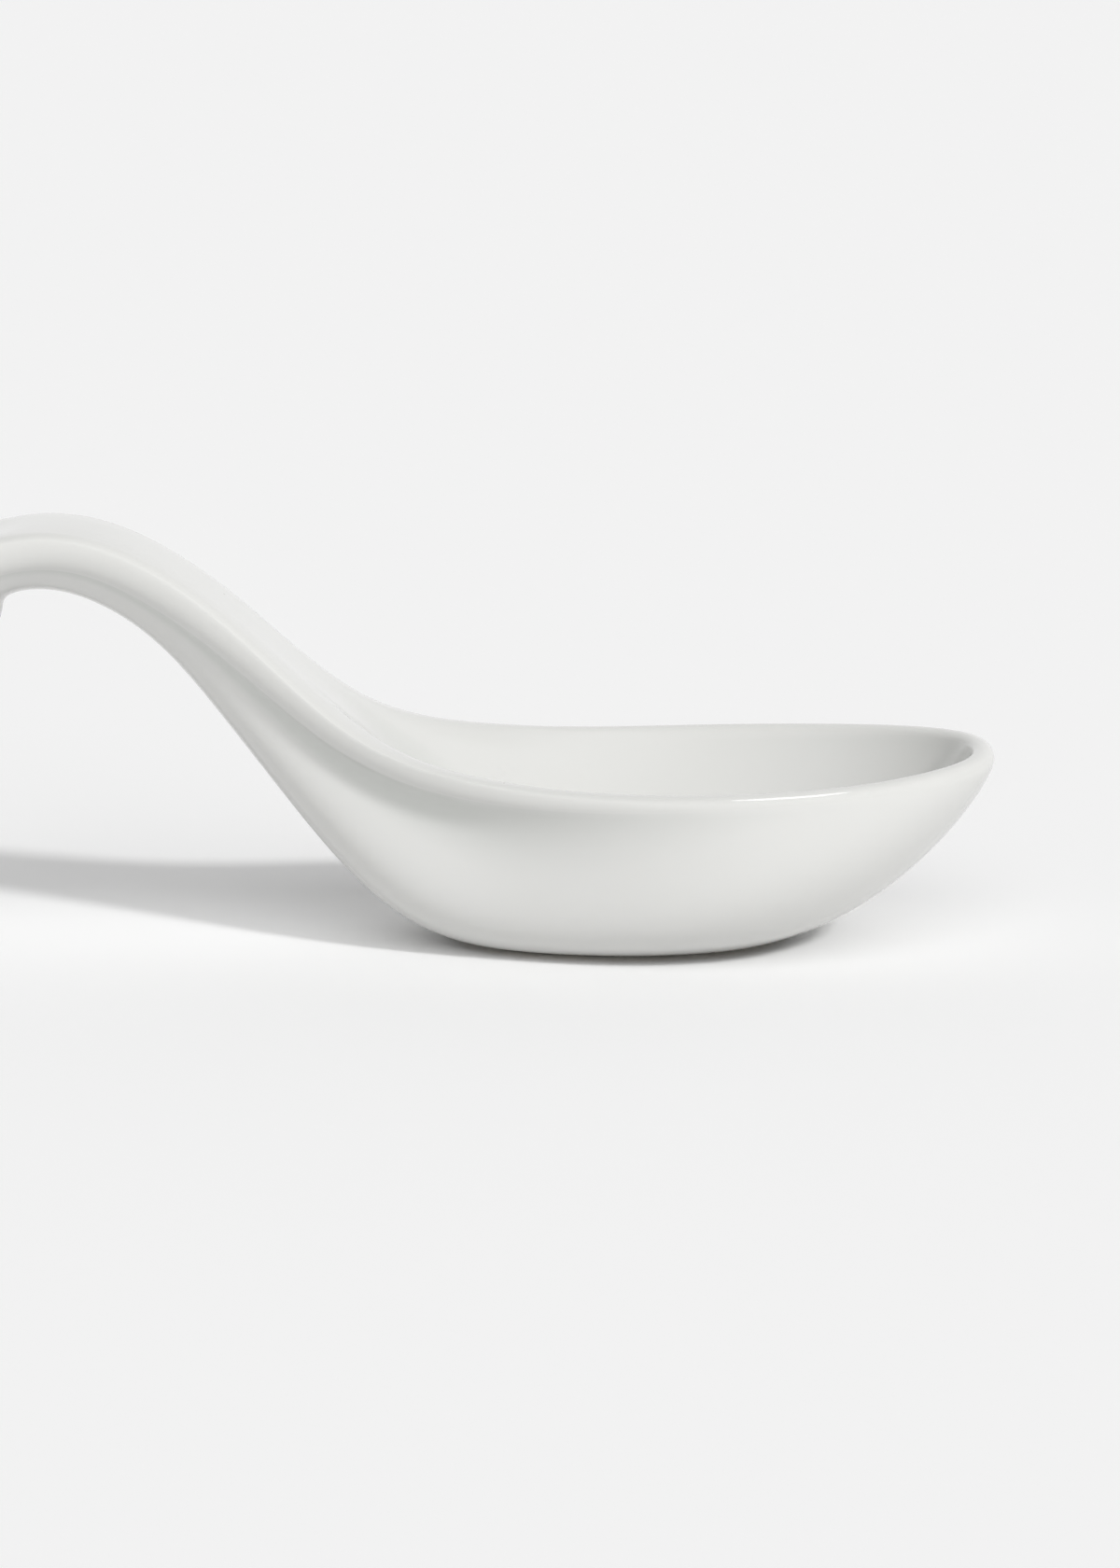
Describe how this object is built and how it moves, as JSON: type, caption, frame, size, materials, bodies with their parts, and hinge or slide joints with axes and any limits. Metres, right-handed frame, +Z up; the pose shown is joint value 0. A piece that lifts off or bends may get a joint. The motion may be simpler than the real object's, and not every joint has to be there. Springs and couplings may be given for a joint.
{
  "type": "chinese soup spoon",
  "caption": "Soup spoon with a deep flat-footed bowl and an arched, flat-topped handle that ends in a hook for the rim of a bowl. Glazed porcelain with a bare foot.",
  "frame": {"origin": "middle of the flat foot, on the surface that the spoon rests on", "axes": "+X towards the tip of the bowl, -X towards the handle's end, +Z up, and the plane Y = 0 halves the spoon"},
  "size_m": [0.1451, 0.046, 0.0538],
  "materials": {
    "biscuit_porcelain": "bare fired porcelain, fine matt",
    "porcelain_glaze": "glossy clear glaze over white porcelain, a few tiny specks"
  },
  "bodies": {
    "root": {"porcelain_body": "biscuit_porcelain", "glaze_coat": "porcelain_glaze"}
  },
  "joints": []
}
